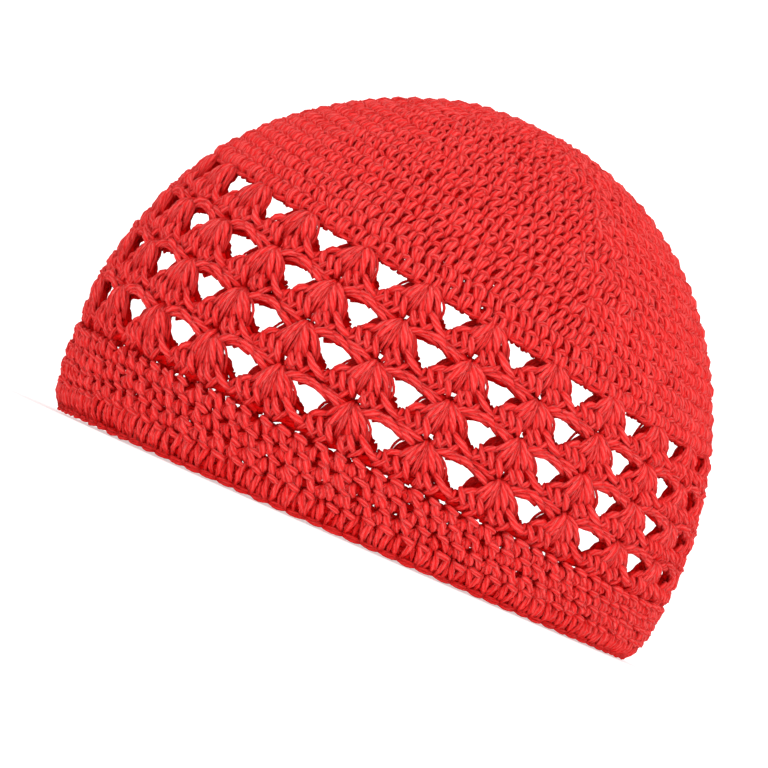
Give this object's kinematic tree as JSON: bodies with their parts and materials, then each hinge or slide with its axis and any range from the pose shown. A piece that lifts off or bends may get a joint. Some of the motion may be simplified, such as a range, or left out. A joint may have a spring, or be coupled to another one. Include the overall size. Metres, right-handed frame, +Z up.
{
  "type": "crocheted beanie",
  "caption": "Brimless crocheted cap of cotton yarn: a close domed crown, a band of openwork shells, a close brim band and a braided edge.",
  "frame": {"origin": "centre of the bounding box's base, on the surface that the cap's edge stands on", "axes": "+Z up through the crown, -X towards the front of the head, +X towards its back, Y across the head"},
  "size_m": [0.195, 0.1714, 0.1351],
  "materials": {
    "cotton_yarn": "matt coral-red cotton yarn, loosely plied, crocheted"
  },
  "bodies": {
    "root": {"crown": "cotton_yarn", "lace_band": "cotton_yarn", "brim_band": "cotton_yarn", "edge_round": "cotton_yarn"}
  },
  "joints": []
}
